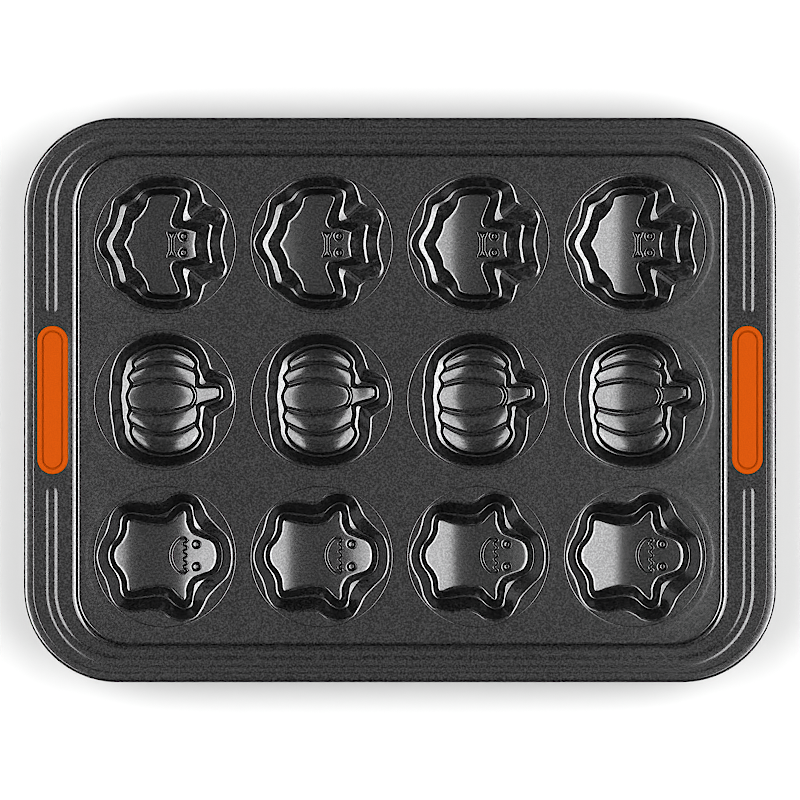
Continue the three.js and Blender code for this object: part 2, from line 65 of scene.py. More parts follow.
# Sheet, seams and cups
SHEET = 0.8
SEAM_LAP = 3.0  # seam flange hidden under the deck
SEAM_GAP = 0.1  # between the deck and a seam flange
LIP_BORDER = 1.5  # from the farthest point of a figure's lip to the edge of the deck window
WINDOW_ROUND = 0.55  # rounding of the deck's cut edge
LIP_ROUND = 1.4  # setbacks of the roundings in a cup's section, from its lip to its floor
SHELF_FOOT_ROUND = 0.3
SHELF_EDGE_ROUND = 0.5
FLOOR_ROUNDS = {"bat": 1.1, "pumpkin": 0.7, "ghost": 1.3}
# Slope of a shelf down to the middle of its cup: where it faces a short end, and where it faces a long side
SHELF_SLOPES = {"bat": 0.34, "pumpkin": 0.35, "ghost": 0.5}
SHELF_SIDE_SLOPE = 0.08
# Floors: places along the figure, and the slope at each
FLOOR_SLOPES = {
    "bat": [(-22.0, -0.142), (-15.0, -0.118), (-7.1, -0.065), (12.5, 0.087), (16.0, 0.112)],
    "pumpkin": [(-21.0, -0.21), (-19.0, -0.18), (-7.4, -0.065), (10.8, 0.093), (16.0, 0.18)],
    "ghost": [(-28.0, -0.222), (-22.0, -0.186), (-8.0, -0.065), (9.6, 0.093), (18.3, 0.137), (26.0, 0.165)],
}

# Frame
STEP_RISE = 3.5  # flange over deck
STEP_RUN = 1.6
STEP_HIGH_ROUND, STEP_LOW_ROUND = 2.3, 0.9
FLANGE_LEAN = 0.09  # slope of the flange, which falls from the rim to the step
RIM_FALL = 0.24  # top of the rim over the flange beside it
RIM_FALL_START, RIM_FALL_RUN = 4.4, 1.5  # from the outline in
CURL_RADIUS = 2.7
CURL_SHOULDER = 1.9  # radius of the curl between its upright side and its flat top
CURL_END = -150.0  # degrees from straight out
RIM_CORNER, DECK_CORNER = 50.0, 27.0
FLANGE_END, FLANGE_SIDE = 28.75, 20.5  # outline to deck, at the short ends and along the long sides
DECK_SUPPORT = 2.0  # flat deck that is meshed with the step
COLLAR_RISE = 0.05  # of the deck round each window, which ends in a shallow slope
COLLAR_INNER, COLLAR_OUTER = 41.0, 42.4
WINDOW_BORDER = 1.6  # from a window to the level ring inside its collar's slope
BEAD_RISE = 0.34
BEAD_HALF_WIDTH = 3.7
BEAD_TOP = 0.9  # half width of its flat top
BEAD_INSET_END, BEAD_INSET_SIDE = 14.72, 10.82
BEAD_STOP = 48.75  # middle of the bead's round end, from the pan's long axis
WIRE_RADIUS = 1.6

# Grips
GRIP_LIP = 2.4  # pad that overlaps the flange round the slot
NECK_CLEARANCE = 0.3
GRIP_SEAT = 0.1  # between the pads and the sheet
GRIP_BORDER = 2.4
PANEL_DROP = 0.3
GROOVE_WIDTH, GROOVE_DEPTH = 1.3, 0.85  # round the panel
PANEL_ROUND = 0.3
GROOVE_ROUND = 0.1
PAD_ROUND = 0.3  # of the pads' edges at the flange
NECK_ROUND = 0.15
GRIP_ROUND = 0.8
PANEL_CORE = 1.0  # half width of the panel's innermost ring

# Derived levels and radii
window_radius = seam_radius - SEAM_LAP
mould_reach = window_radius - LIP_BORDER
floor_level = SHEET
deck_top = cup_top + SEAM_GAP + SHEET
flange_top = deck_top + STEP_RISE
cell_half = pitch / 2


def flange_height(distance):
    """Height of the leaning flange at a distance in from the outline: a straight slope that is at its mean
    level under the middle of a grip."""
    return flange_top + FLANGE_LEAN * (half_length - (grip_low[0] + grip_high[0]) / 2 - distance)


rim_height = flange_height(RIM_FALL_START + RIM_FALL_RUN) + RIM_FALL
curl_height = rim_height - CURL_RADIUS


# Meshes from grids of points

WELD = 0.000137  # points nearer than this, in millimetres, are one point
TINY = 1e-9  # a shorter normal has no direction
SHARP = math.radians(40.0)  # an edge that turns by more than this stays sharp
LEG_SHARE = 0.47  # of a leg between two roundings, the most that one of them takes
GENTLE, STEEP = 0.25, 0.5  # slopes, each as 1 less the height of its unit normal


def grid_quads(rows, columns, closed):
    """Quads of a grid whose points are numbered row by row. Closed joins the last column to the first."""
    row = np.arange(rows - 1)[:, None] * columns
    column = np.arange(columns if closed else columns - 1)[None, :]
    after = (column + 1) % columns
    corners = [row + column, row + after, row + columns + after, row + columns + column]
    return np.stack(corners, axis=-1).reshape(-1, 4)


def weld(points, quads):
    """Merges points that coincide. A quad that loses a corner becomes a triangle, and one that loses two is
    left out."""
    keys = np.round(points / WELD).astype(np.int64)
    _, first, place = np.unique(keys, axis=0, return_index=True, return_inverse=True)
    quads = place.reshape(-1)[quads]
    doubled = (quads == np.roll(quads, -1, axis=1)).sum(axis=1)
    whole = quads[doubled == 0]
    pinched = quads[doubled == 1]
    at = np.argmax(pinched == np.roll(pinched, -1, axis=1), axis=1)
    triangles = np.take_along_axis(pinched, (at[:, None] + np.arange(1, 4)) % 4, axis=1)
    return points[first], whole, triangles


def surface(grid, closed=True, keep=None):
    """A grid (rows, columns, 3) for a piece, whether its columns close, and which of its quads are kept. It
    faces the side that the cross product of its columns' and its rows' direction points to."""
    return np.asarray(grid, float), closed, keep


def add_object(name, data):
    """A new object in the scene, at the origin."""
    thing = bpy.data.objects.new(name, data)
    bpy.context.scene.collection.objects.link(thing)
    return thing


def make_piece(name, surfaces, material):
    """Makes the object that stands for a node, from grids in millimetres with coinciding points welded."""
    points, quads, count = [], [], 0
    for grid, closed, keep in surfaces:
        rows, columns = grid.shape[:2]
        faces = grid_quads(rows, columns, closed)
        if keep is not None:
            faces = faces[keep.reshape(-1)]
        points.append(grid.reshape(-1, 3))
        quads.append(faces + count)
        count += rows * columns
    points, quads, triangles = weld(np.vstack(points), np.vstack(quads))
    corners = np.concatenate([quads.reshape(-1), triangles.reshape(-1)])
    sizes = np.concatenate([np.full(len(quads), 4), np.full(len(triangles), 3)])
    starts = np.concatenate([[0], np.cumsum(sizes)[:-1]])
    used, corners = np.unique(corners, return_inverse=True)
    mesh = bpy.data.meshes.new(name)
    mesh.vertices.add(len(used))
    mesh.vertices.foreach_set("co", (points[used] * MM).astype(np.float32).ravel())
    mesh.loops.add(len(corners))
    mesh.loops.foreach_set("vertex_index", corners.astype(np.int32))
    mesh.polygons.add(len(sizes))
    mesh.polygons.foreach_set("loop_start", starts.astype(np.int32))
    mesh.polygons.foreach_set("loop_total", sizes.astype(np.int32))
    mesh.update(calc_edges=True)
    mesh.validate()
    mesh.shade_smooth()
    mesh.set_sharp_from_angle(angle=SHARP)
    mesh.materials.append(material)
    piece = add_object(f"{name}_look", mesh)
    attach(piece, "root")
    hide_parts(name)


def at_height(ring, z):
    """A ring of (x, y) points at one height, or at a height for each."""
    return np.column_stack([ring, np.broadcast_to(z, len(ring))])


def smooth_step(value, low, high):
    """0 below low, 1 above high, and a smooth cubic between."""
    share = np.clip((value - low) / (high - low), 0, 1)
    return share * share * (3 - 2 * share)


def rounded_path(corners, setbacks, steps):
    """Rings along a path of corner rings. Each inner corner gives way to a quadratic curve that starts and
    ends at its setback from the corner, or nearer where a leg between two corners is short."""
    rings = [corners[0]]
    last = len(corners) - 2
    for index, setback in enumerate(setbacks, start=1):
        corner = corners[index]
        before = index - 1, 1.0 if index == 1 else LEG_SHARE
        after = index + 1, 1.0 if index == last else LEG_SHARE
        ends = []
        for other, most in (before, after):
            leg = corners[other] - corner
            length = np.linalg.norm(leg, axis=1, keepdims=True)
            ends.append(corner + leg / length * np.minimum(setback, most * length))
        for share in np.linspace(0, 1, steps + 1):
            rings.append((1 - share) ** 2 * ends[0] + 2 * share * (1 - share) * corner + share**2 * ends[1])
    rings.append(corners[-1])
    return rings


def subdivided(rings, longest):
    """Adds rings on the straight stretches that are longer than this."""
    result = [rings[0]]
    for here, there in zip(rings, rings[1:]):
        length = np.linalg.norm(there - here, axis=1).max()
        parts = max(1, math.ceil(length / longest))
        result += [here + (there - here) * part / parts for part in range(1, parts + 1)]
    return result


def upper_normals(grid):
    """Unit normals of a grid of closed rings that run inwards, from the differences between neighbours."""
    along = np.roll(grid, -1, axis=1) - np.roll(grid, 1, axis=1)
    across = np.gradient(grid, axis=0)
    normal = np.cross(along, across)
    length = np.linalg.norm(normal, axis=2, keepdims=True)
    straight_up = np.broadcast_to([0.0, 0.0, 1.0], normal.shape)
    return np.where(length > TINY, normal / np.maximum(length, TINY), straight_up)


def underside(grid):
    """The lower side of the sheet under a grid: straight below it on gentle slopes and along the normal on
    steep ones, so that neither valleys nor walls cross themselves."""
    normal = upper_normals(grid)
    steep = smooth_step(1 - normal[..., 2:3], GENTLE, STEEP)
    direction = normal * steep + np.array([0.0, 0.0, 1.0]) * (1 - steep)
    return grid - SHEET * direction / np.linalg.norm(direction, axis=2, keepdims=True)


# Figures: floor x and y, lip x and y, and the shares of the wall, from floor to lip, where the shelf begins
# and ends. The head or stem points to +X. The bat's and the ghost's rows are one half, which is mirrored.
BAT = np.array([
    [-22.4, 0.0, -35.4, 0.0, 0.51, 0.72],
    [-20.3, 4.3, -33.9, 4.6, 0.51, 0.73],
    [-18.8, 8.2, -30.0, 10.2, 0.51, 0.75],
    [-18.0, 12.3, -28.2, 16.8, 0.48, 0.72],
    [-14.3, 15.6, -26.9, 22.6, 0.55, 0.74],
    [-11.4, 20.4, -21.4, 27.0, 0.42, 0.57],
    [-9.9, 25.2, -14.6, 32.0, 0.38, 0.52],
    [-5.0, 26.9, -6.4, 34.8, 0.32, 0.47],
    [1.0, 27.2, 3.2, 35.3, 0.3, 0.44],
    [5.2, 26.4, 11.2, 34.0, 0.37, 0.5],
    [6.9, 24.4, 17.0, 30.8, 0.42, 0.56],
    [5.2, 19.8, 19.3, 26.0, 0.41, 0.5],
    [3.4, 15.4, 20.6, 22.0, 0.36, 0.465],
    [2.5, 11.8, 24.0, 19.5, 0.305, 0.456],
    [4.2, 9.4, 28.6, 18.5, 0.26, 0.434],
    [9.2, 8.6, 31.4, 16.0, 0.39, 0.486],
    [15.0, 7.0, 32.1, 12.4, 0.48, 0.56],
    [15.3, 4.6, 30.9, 8.2, 0.49, 0.57],
    [14.7, 0.0, 29.5, 0.0, 0.505, 0.595],
])
GHOST = np.array([
    [-28.2, 0.0, -35.8, 0.0, 0.3, 0.43],
    [-27.1, 4.4, -34.4, 6.2, 0.3, 0.43],
    [-24.0, 8.2, -31.5, 11.6, 0.3, 0.43],
    [-21.9, 12.6, -29.9, 16.4, 0.3, 0.43],
    [-21.3, 18.0, -28.2, 22.0, 0.33, 0.48],
    [-19.0, 19.4, -23.6, 27.2, 0.41, 0.49],
    [-12.4, 17.6, -15.4, 29.2, 0.38, 0.46],
    [-5.0, 16.5, -6.2, 28.2, 0.39, 0.47],
    [1.4, 17.6, -0.6, 30.0, 0.39, 0.47],
    [6.2, 22.2, 3.8, 32.9, 0.4, 0.46],
    [9.2, 24.2, 9.8, 34.0, 0.42, 0.47],
    [10.7, 22.0, 16.2, 31.6, 0.44, 0.55],
    [10.7, 17.2, 19.8, 26.8, 0.4, 0.47],
    [13.2, 12.6, 22.6, 21.2, 0.27, 0.46],
    [18.0, 10.4, 28.0, 15.2, 0.31, 0.39],
    [23.4, 8.2, 32.6, 10.6, 0.37, 0.41],
    [26.0, 4.4, 34.6, 5.8, 0.38, 0.42],
    [26.7, 0.0, 35.2, 0.0, 0.38, 0.42],
])
PUMPKIN = np.array([
    [-20.6, 1.8, -28.7, 2.0, 0.14, 0.42],
    [-18.5, -5.0, -28.1, -4.4, 0.19, 0.5],
    [-20.0, -9.0, -27.8, -9.0, 0.14, 0.4],
    [-17.9, -13.5, -27.0, -14.0, 0.19, 0.46],
    [-18.4, -17.6, -26.2, -19.4, 0.15, 0.42],
    [-15.0, -22.6, -23.4, -26.2, 0.18, 0.38],
    [-8.6, -26.6, -14.6, -32.4, 0.2, 0.34],
    [-0.4, -28.0, -1.2, -35.0, 0.18, 0.32],
    [8.0, -26.6, 11.2, -33.4, 0.2, 0.34],
    [13.9, -23.0, 19.8, -28.8, 0.22, 0.38],
    [17.1, -17.6, 24.4, -21.6, 0.21, 0.36],
    [15.0, -13.0, 25.6, -14.0, 0.22, 0.38],
    [16.0, -7.6, 26.0, -9.0, 0.21, 0.36],
    [16.2, -2.2, 29.4, -6.2, 0.2, 0.35],
    [26.2, 1.3, 34.2, -2.6, 0.21, 0.34],
    [27.6, 3.8, 35.4, 2.6, 0.21, 0.34],
    [26.2, 6.5, 33.4, 10.6, 0.21, 0.34],
    [16.0, 6.6, 28.0, 14.6, 0.2, 0.42],
    [15.1, 12.4, 24.2, 16.0, 0.29, 0.41],
    [13.8, 16.2, 22.9, 19.0, 0.28, 0.4],
    [14.8, 19.2, 21.0, 24.2, 0.26, 0.38],
    [11.2, 23.4, 16.8, 29.6, 0.24, 0.37],
    [5.6, 26.3, 8.8, 33.6, 0.2, 0.34],
    [-1.0, 27.4, -1.4, 35.0, 0.17, 0.32],
    [-7.6, 26.2, -11.0, 33.3, 0.18, 0.34],
    [-13.2, 23.2, -18.8, 29.4, 0.2, 0.37],
    [-17.2, 19.5, -24.0, 23.8, 0.17, 0.46],
    [-16.7, 16.5, -26.8, 18.0, 0.15, 0.5],
    [-19.8, 12.2, -28.0, 12.6, 0.13, 0.42],
    [-17.9, 8.2, -28.0, 7.6, 0.18, 0.54],
])
OUTLINES = {"bat": BAT, "pumpkin": PUMPKIN, "ghost": GHOST}
SHELVES = {"bat": 10.5, "pumpkin": 7.0, "ghost": 7.2}  # over the lowest floor
ROW_STEPS = {"bat": 8, "pumpkin": 14, "ghost": 8}  # mesh steps from one row of an outline to the next
DISH_STEP = 0.05  # of the sum along a floor
ROW_CROWDING = 0.75  # of the pumpkin's mesh lines towards its rows, every other of which is a ridge's end


def crowded(shares, amount):
    """Even shares from 0 to 1, drawn towards both ends by a sine."""
    return shares - amount * np.sin(2 * np.pi * shares) / (2 * np.pi)


def row_shares(kind):
    """Where the mesh steps lie on the way from one row of an outline to the next."""
    even = np.arange(ROW_STEPS[kind]) / ROW_STEPS[kind]
    return crowded(even, ROW_CROWDING) if kind == "pumpkin" else even


def closed_curve(points, shares):
    """A smooth closed curve through points, with steps at these shares from one to the next: cubics whose
    slope at a point is half the way from the point before it to the point after it."""
    share = shares[None, :, None]
    here, there = points[:, None], np.roll(points, -1, axis=0)[:, None]
    slope = (np.roll(points, -1, axis=0) - np.roll(points, 1, axis=0))[:, None] / 2
    slope_there = np.roll(slope, -1, axis=0)
    curve = (
        (2 * share**3 - 3 * share**2 + 1) * here
        + (share**3 - 2 * share**2 + share) * slope
        + (3 * share**2 - 2 * share**3) * there
        + (share**3 - share**2) * slope_there
    )
    return curve.reshape(-1, points.shape[1])


def figure_rings(kind):
    """Smooth outlines of a figure, counterclockwise: floor, inner and outer edge of the shelf, and lip."""
    rows = OUTLINES[kind]
    if kind != "pumpkin":
        rows = np.vstack([rows * [1, -1, 1, -1, 1, 1], rows[-2:0:-1]])
    scale = mould_reach / np.hypot(rows[:, 2], rows[:, 3]).max()
    smooth = closed_curve(rows, row_shares(kind))
    floor, lip = smooth[:, 0:2] * scale, smooth[:, 2:4] * scale
    inner = floor + (lip - floor) * smooth[:, 4:5]
    outer = floor + (lip - floor) * smooth[:, 5:6]
    return floor, inner, outer, lip


def dish(kind, x):
    """Height of a floor over its lowest line: the sum along x of a slope that changes evenly between its
    places."""
    places, slopes = np.array(FLOOR_SLOPES[kind]).T
    fine = np.arange(-mould_reach, mould_reach, DISH_STEP)
    height = np.cumsum(np.interp(fine, places, slopes)) * DISH_STEP
    return np.interp(x, fine, height - height.min())


# Faces: raised buttons for eyes and raised bars for mouths, as heights added to a floor
EYE_FOOT, EYE_TOP, EYE_HEIGHT = 2.7, 1.0, 1.7
MOUTH_HEIGHT, MOUTH_FLANK = 1.5, 1.6
FLANK_ROUND = 0.4  # share of a flank's width that its foot takes, and its shoulder
BAT_EYE, GHOST_EYE = (8.9, 4.4), (15.6, 6.0)
BAT_MOUTH, BAT_MOUTH_REACH = 2.5, 7.0  # place along the figure, and half the length across it
BAT_MOUTH_HALF, BAT_MOUTH_FLARE = 1.5, 1.2  # half width in the middle, and what the ends add to it
BAT_FLARE_START, BAT_FLARE_RUN = 3.4, 2.6
GHOST_ARC, GHOST_ARC_RADIUS = 13.4, 12.0  # the mouth's edge away from the eyes
GHOST_WAVE, GHOST_WAVE_HEIGHT, GHOST_WAVE_LENGTH = 10.6, 0.75, 4.15  # its edge towards them
GHOST_WAVE_FLANK = 0.9  # slope of the flank there, to that along the arc
GHOST_MOUTH_REACH = 9.9


def flank(distance, width):
    """0 outside, 1 inside: a straight slope with a parabola at its foot and one at its shoulder."""
    share = np.clip(distance / width, 0, 1)
    foot = np.maximum(FLANK_ROUND - share, 0)
    shoulder = np.maximum(share - 1 + FLANK_ROUND, 0)
    bend = (foot**2 - shoulder**2) / (2 * FLANK_ROUND)
    return (share - FLANK_ROUND / 2 + bend) / (1 - FLANK_ROUND)


def eye(x, y, centre):
    """A round button: flat outside its foot, a steep flank, and a small flat top."""
    reach = np.hypot(x - centre[0], y - centre[1])
    return EYE_HEIGHT * flank(EYE_FOOT - reach, EYE_FOOT - EYE_TOP)


def bat_face(x, y):
    """Two eyes, and a mouth that is a roof-shaped bar with wide, flat-topped ends."""
    side = np.abs(y)
    flare = np.clip((side - BAT_FLARE_START) / BAT_FLARE_RUN, 0, 1)
    half_width_here = BAT_MOUTH_HALF + BAT_MOUTH_FLARE * flare
    inside = np.minimum(half_width_here - np.abs(x - BAT_MOUTH), BAT_MOUTH_REACH - side)
    return MOUTH_HEIGHT * flank(inside, MOUTH_FLANK) + eye(x, side, BAT_EYE)


def ghost_face(x, y):
    """Two eyes, and a mouth between an arc and a wavy line."""
    side = np.abs(y)
    arc = GHOST_ARC_RADIUS - np.hypot(x - GHOST_ARC, y)
    wave = GHOST_WAVE + GHOST_WAVE_HEIGHT * np.cos(2 * np.pi * y / GHOST_WAVE_LENGTH)
    inside = np.minimum(np.minimum(arc, (wave - x) * GHOST_WAVE_FLANK), GHOST_MOUTH_REACH - side)
    return MOUTH_HEIGHT * flank(inside, MOUTH_FLANK) + eye(x, side, GHOST_EYE)


# Cups

HEARTS = {"bat": np.array([-6.0, 0.0]), "ghost": np.array([5.0, 0.0])}  # where the floor's rings shrink to
FACES = {"bat": bat_face, "ghost": ghost_face}
FLOOR_RINGS = 96
HEART_CROWDING = 1.3  # power that draws the floor's rings together round its heart, where the face is
LEAST_TURN = 1e-6  # of an outline at a point, in radians
TURN_SHARE = 0.6  # of the radius of a sharp turn, the most that an outline is moved in there
TURN_SLOPE = 0.35  # how fast the distance grows away from it
TURN_REACH = 14  # a turn is felt by fewer points than this on either side
CORNER_STEPS = 7
LONGEST_WALL = 2.5  # between two rings of a wall
UNDER_STEPS = {"bat": 4, "pumpkin": 3, "ghost": 4}  # rings of a cup's upper side to one of its lower side


def cup_wall(kind, outlines, floor_corner, floor_ring):
    """Rings of a cup's upper side, from the rim of its seam flange to a ring of its floor: a rounded path
    over the lip, the shelf's two edges and the floor's corner."""
    _, inner, outer, lip = outlines
    rim = lip / np.linalg.norm(lip, axis=1, keepdims=True) * seam_radius
    shelf_level = floor_level + SHELVES[kind]
    shelf = outer - inner
    shelf_width = np.linalg.norm(shelf, axis=1)
    end_share = (shelf[:, 0] / shelf_width) ** 2
    shelf_fall = shelf_width * (SHELF_SIDE_SLOPE + (SHELF_SLOPES[kind] - SHELF_SIDE_SLOPE) * end_share)
    corners = [
        at_height(rim, cup_top),
        at_height(lip, cup_top),
        at_height(outer, shelf_level),
        at_height(inner, shelf_level - shelf_fall),
        floor_corner,
        floor_ring,
    ]
    setbacks = [LIP_ROUND, SHELF_FOOT_ROUND, SHELF_EDGE_ROUND, FLOOR_ROUNDS[kind]]
    return subdivided(rounded_path(corners, setbacks, CORNER_STEPS), LONGEST_WALL)


def inset(ring, distance):
    """A closed counterclockwise outline moved inwards, each point square to the way past it. Where it turns
    sharply it moves less, so that it doesn't fold, and the distance changes slowly towards such a place."""
    along = np.roll(ring, -1, axis=0) - np.roll(ring, 1, axis=0)
    step = np.linalg.norm(along, axis=1) / 2
    along = along / (2 * step[:, None])
    before, after = np.roll(along, 1, axis=0), np.roll(along, -1, axis=0)
    turn = np.arcsin(np.clip(before[:, 0] * after[:, 1] - before[:, 1] * after[:, 0], -1, 1)) / 2
    bend_radius = step / np.maximum(turn, LEAST_TURN)
    distances = np.minimum(distance, TURN_SHARE * bend_radius)
    for shift in range(1, TURN_REACH):
        for way in (shift, -shift):
            distances = np.minimum(distances, np.roll(distances, way) + TURN_SLOPE * shift * step)
    return ring + distances[:, None] * np.column_stack([-along[:, 1], along[:, 0]])


def both_sides(upper, step):
    """Both sides of a cup's sheet, the lower with one ring for each step of the upper's, and the edge of
    the seam flange between them."""
    rows = np.unique(np.append(np.arange(0, len(upper), step), len(upper) - 1))
    lower = underside(upper)[rows]
    lower[-1] = upper[-1] - [0.0, 0.0, SHEET]
    edge = np.stack([lower[0], upper[0]])
    return [surface(upper), surface(lower[::-1]), surface(edge)]


def plain_cup(kind):
    """Surfaces of a bat or ghost cup: rings from the seam flange's rim to the heart of the floor. The
    height of the floor is the sum of its dish and the face on it."""
    outlines = figure_rings(kind)
    floor = outlines[0]
    heart, face = HEARTS[kind], FACES[kind]
    edge = inset(floor, FLOOR_ROUNDS[kind])
    floor_corner = at_height(floor, floor_level + dish(kind, floor[:, 0]))

    def floor_ring(share):
        """The floor at a share of the way from its heart to its edge."""
        ring = heart + (edge - heart) * share
        return at_height(ring, floor_level + dish(kind, ring[:, 0]) + face(ring[:, 0], ring[:, 1]))

    rings = cup_wall(kind, outlines, floor_corner, floor_ring(1.0))
    rings += [floor_ring(share) for share in np.linspace(1, 0, FLOOR_RINGS + 1)[1:] ** HEART_CROWDING]
    return both_sides(np.stack(rings), UNDER_STEPS[kind])


# The pumpkin's floor

ARCH_RISE, ARCH_POWER = 0.2, 1.5  # how the lobes climb from the middle one outwards
LOBE_SAG = 0.35  # edge of a lobe over its lowest line
RIDGE_HEIGHT = 0.85  # over the edges of the lobes beside it
RIDGE_SHARE = 0.24  # of a lobe's half width, taken by the flank of a ridge
CRESCENT_TILT, CRESCENT_BEND = 0.7, 0.4  # rise of the outer lobes towards the wall
LENGTH_CROWDING = 0.4  # of the mesh steps along a lobe towards its ends
LOBE_BOWS = np.array([4.2, 3.6, 3.1, 3.6, 0.0, -3.8, -4.7, -5.0, -5.3])  # of valleys and ridges in turn
STEM_RISE = 1.6
ROOT_BOW = 0.5  # of the line where the stem begins
ROOT_START, ROOT_START_BOW = 0.925, 0.07  # where the step up to the stem starts along the middle lobe
ROOT_END, ROOT_END_BOW = 0.985, 0.05
CRESCENT_ROWS = 16
FIRST_LEFT, FIRST_RIGHT = 26, 20  # rows of the outline where lobes and stem start and end
FIFTH_LEFT, FIFTH_RIGHT = 4, 10
STEM_LOW, STEM_LOW_TIP, STEM_HIGH_TIP, STEM_HIGH = 13, 14, 16, 17
ROOT_LINE, MIDDLE_LINE, LAST_LINE = 3, 4, 8  # the ridge beside the stem's root, the middle and last valley


def lobe_rise(line):
    """Height across the lobes, over lines numbered from the first lobe's valley, valleys even and ridges
    odd: the sum of an arch over all five, a parabola in each lobe, and a steep ridge between two."""
    share = np.abs((line + 1) % 2 - 1)
    arch = ARCH_RISE * np.abs(line - MIDDLE_LINE) ** ARCH_POWER
    return arch + LOBE_SAG * share**2 + RIDGE_HEIGHT * flank(share - 1 + RIDGE_SHARE, RIDGE_SHARE)


def coons(low, high, left, right):
    """A patch inside four borders: the sum of its two straight lofts less the one between its corners. Low
    and high run along the columns, and left and right along the rows."""
    across = np.linspace(0, 1, len(low))[None, :, None]
    up = np.linspace(0, 1, len(left))[:, None, None]
    lofts = (1 - up) * low + up * high + (1 - across) * left[:, None] + across * right[:, None]
    corners = (1 - up) * ((1 - across) * low[0] + across * low[-1])
    corners = corners + up * ((1 - across) * high[0] + across * high[-1])
    return lofts - corners


def pumpkin_cup():
    """Surfaces of a pumpkin cup: the wall, five lobes on a grid of lines across and along them, and the
    stem, a patch between the lobes and the wall."""
    outlines = figure_rings("pumpkin")
    floor = outlines[0]
    steps = ROW_STEPS["pumpkin"]
    edge = inset(floor, FLOOR_ROUNDS["pumpkin"])

    def run(start, end):
        """Numbers of the outline's points from one of its rows to another."""
        return np.arange(start * steps, end * steps + (1 if end > start else -1), 1 if end > start else -1)

    def way_shares(way):
        """Shares of the length of a way at its points."""
        lengths = np.linalg.norm(np.diff(way[:, :2], axis=0), axis=1)
        return np.append(0.0, np.cumsum(lengths)) / lengths.sum()

    def crescent_rise(shares, part):
        """Height of an outer lobe's outer half: part goes from its valley out to the floor's edge."""
        rise_here = CRESCENT_TILT * part + CRESCENT_BEND * part**2
        return lobe_rise(np.zeros(1)) + rise_here * 4 * shares * (1 - shares)

    # Heights round the edge of the floor
    shares = row_shares("pumpkin")
    lines = np.append((np.arange(LAST_LINE)[:, None] + shares).ravel(), LAST_LINE)
    along = crowded(np.linspace(0, 1, (FIRST_LEFT - FIRST_RIGHT) * steps + 1), LENGTH_CROWDING)
    left_run = run(FIRST_LEFT, FIFTH_LEFT + len(PUMPKIN)) % len(floor)
    rise = np.zeros(len(floor))
    rise[left_run] = lobe_rise(lines)
    rise[run(FIRST_RIGHT, STEM_HIGH)] = lobe_rise(lines[: ROOT_LINE * steps + 1])
    rise[run(STEM_LOW, FIFTH_RIGHT)] = lobe_rise(lines[(ROOT_LINE + 2) * steps :])
    for outer_run in (run(FIRST_LEFT, FIRST_RIGHT), run(FIFTH_LEFT, FIFTH_RIGHT)):
        rise[outer_run] = crescent_rise(way_shares(edge[outer_run]), 1.0)
    root_rise = lobe_rise(np.array([ROOT_LINE]))[0] + dish("pumpkin", edge[STEM_HIGH * steps, 0])
    stem_run = run(STEM_LOW, STEM_HIGH)
    stem_row = stem_run // steps + shares[stem_run % steps]
    stem_share = np.clip(np.minimum(stem_row - STEM_LOW, STEM_HIGH - stem_row), 0, 1)

    def edge_heights(ring):
        """Heights round the floor: the lobes' rise over the dish, and a level root and stem."""
        heights = rise + dish("pumpkin", ring[:, 0])
        heights[stem_run] = root_rise + STEM_RISE * stem_share
        return floor_level + heights

    edge_ring = at_height(edge, edge_heights(edge))
    wall = np.stack(cup_wall("pumpkin", outlines, at_height(floor, edge_heights(floor)), edge_ring))

    # Lobes: lines run from the left to the right end of each and bow sideways
    root_share = (lines[ROOT_LINE * steps : (ROOT_LINE + 2) * steps + 1, None] - ROOT_LINE) / 2
    root = edge_ring[STEM_HIGH * steps] * (1 - root_share) + edge_ring[STEM_LOW * steps] * root_share
    root[:, 0:1] += ROOT_BOW * 4 * root_share * (1 - root_share)
    over_stem, under_stem = edge_ring[run(FIRST_RIGHT, STEM_HIGH)], edge_ring[run(STEM_LOW, FIFTH_RIGHT)]
    right = np.vstack([over_stem, root[1:-1], under_stem])
    left = edge_ring[left_run]
    share = along[None, :, None]
    lobes = left[:, None] * (1 - share) + right[:, None] * share
    bows = np.interp(lines, np.arange(len(LOBE_BOWS)), LOBE_BOWS)
    lobes[..., 1] += bows[:, None] * (1 - (2 * along - 1) ** 2)
    heights = lobe_rise(lines)[:, None] + dish("pumpkin", lobes[..., 0])
    off_middle = ((lines - MIDDLE_LINE) ** 2)[:, None]
    root_start = ROOT_START - ROOT_START_BOW * off_middle
    root_end = ROOT_END - ROOT_END_BOW * off_middle
    to_root = smooth_step(along, root_start, root_end)
    lobes[..., 2] = floor_level + heights + (root_rise - heights) * to_root * (off_middle < 1)
    lobes[:, 0], lobes[:, -1] = left, right

    def crescent(outer, inner):
        """The outer part of the first or fifth lobe, between the floor's edge and the lobe's valley."""
        part = np.linspace(1, 0, CRESCENT_ROWS + 1)[:, None]
        grid = outer * part[..., None] + inner * (1 - part[..., None])
        shares = along + (way_shares(outer) - along) * part
        grid[..., 2] = floor_level + crescent_rise(shares, part) + dish("pumpkin", grid[..., 0])
        return grid

    first = crescent(edge_ring[run(FIRST_LEFT, FIRST_RIGHT)], lobes[0])
    fifth = crescent(edge_ring[run(FIFTH_LEFT, FIFTH_RIGHT)], lobes[-1])[::-1]
    stem = coons(
        root[::-1],
        edge_ring[run(STEM_LOW_TIP, STEM_HIGH_TIP)],
        edge_ring[run(STEM_LOW, STEM_LOW_TIP)],
        edge_ring[run(STEM_HIGH, STEM_HIGH_TIP)],
    )
    patches = [first, lobes, fifth, stem]
    surfaces = both_sides(wall, UNDER_STEPS["pumpkin"])
    for patch in patches:
        surfaces.append(surface(patch[::-1], closed=False))
        surfaces.append(surface(patch - [0.0, 0.0, SHEET], closed=False))
    return surfaces


def placed(surfaces, x, y):
    """The same surfaces moved across the pan."""
    return [(grid + [x, y, 0.0], closed, keep) for grid, closed, keep in surfaces]


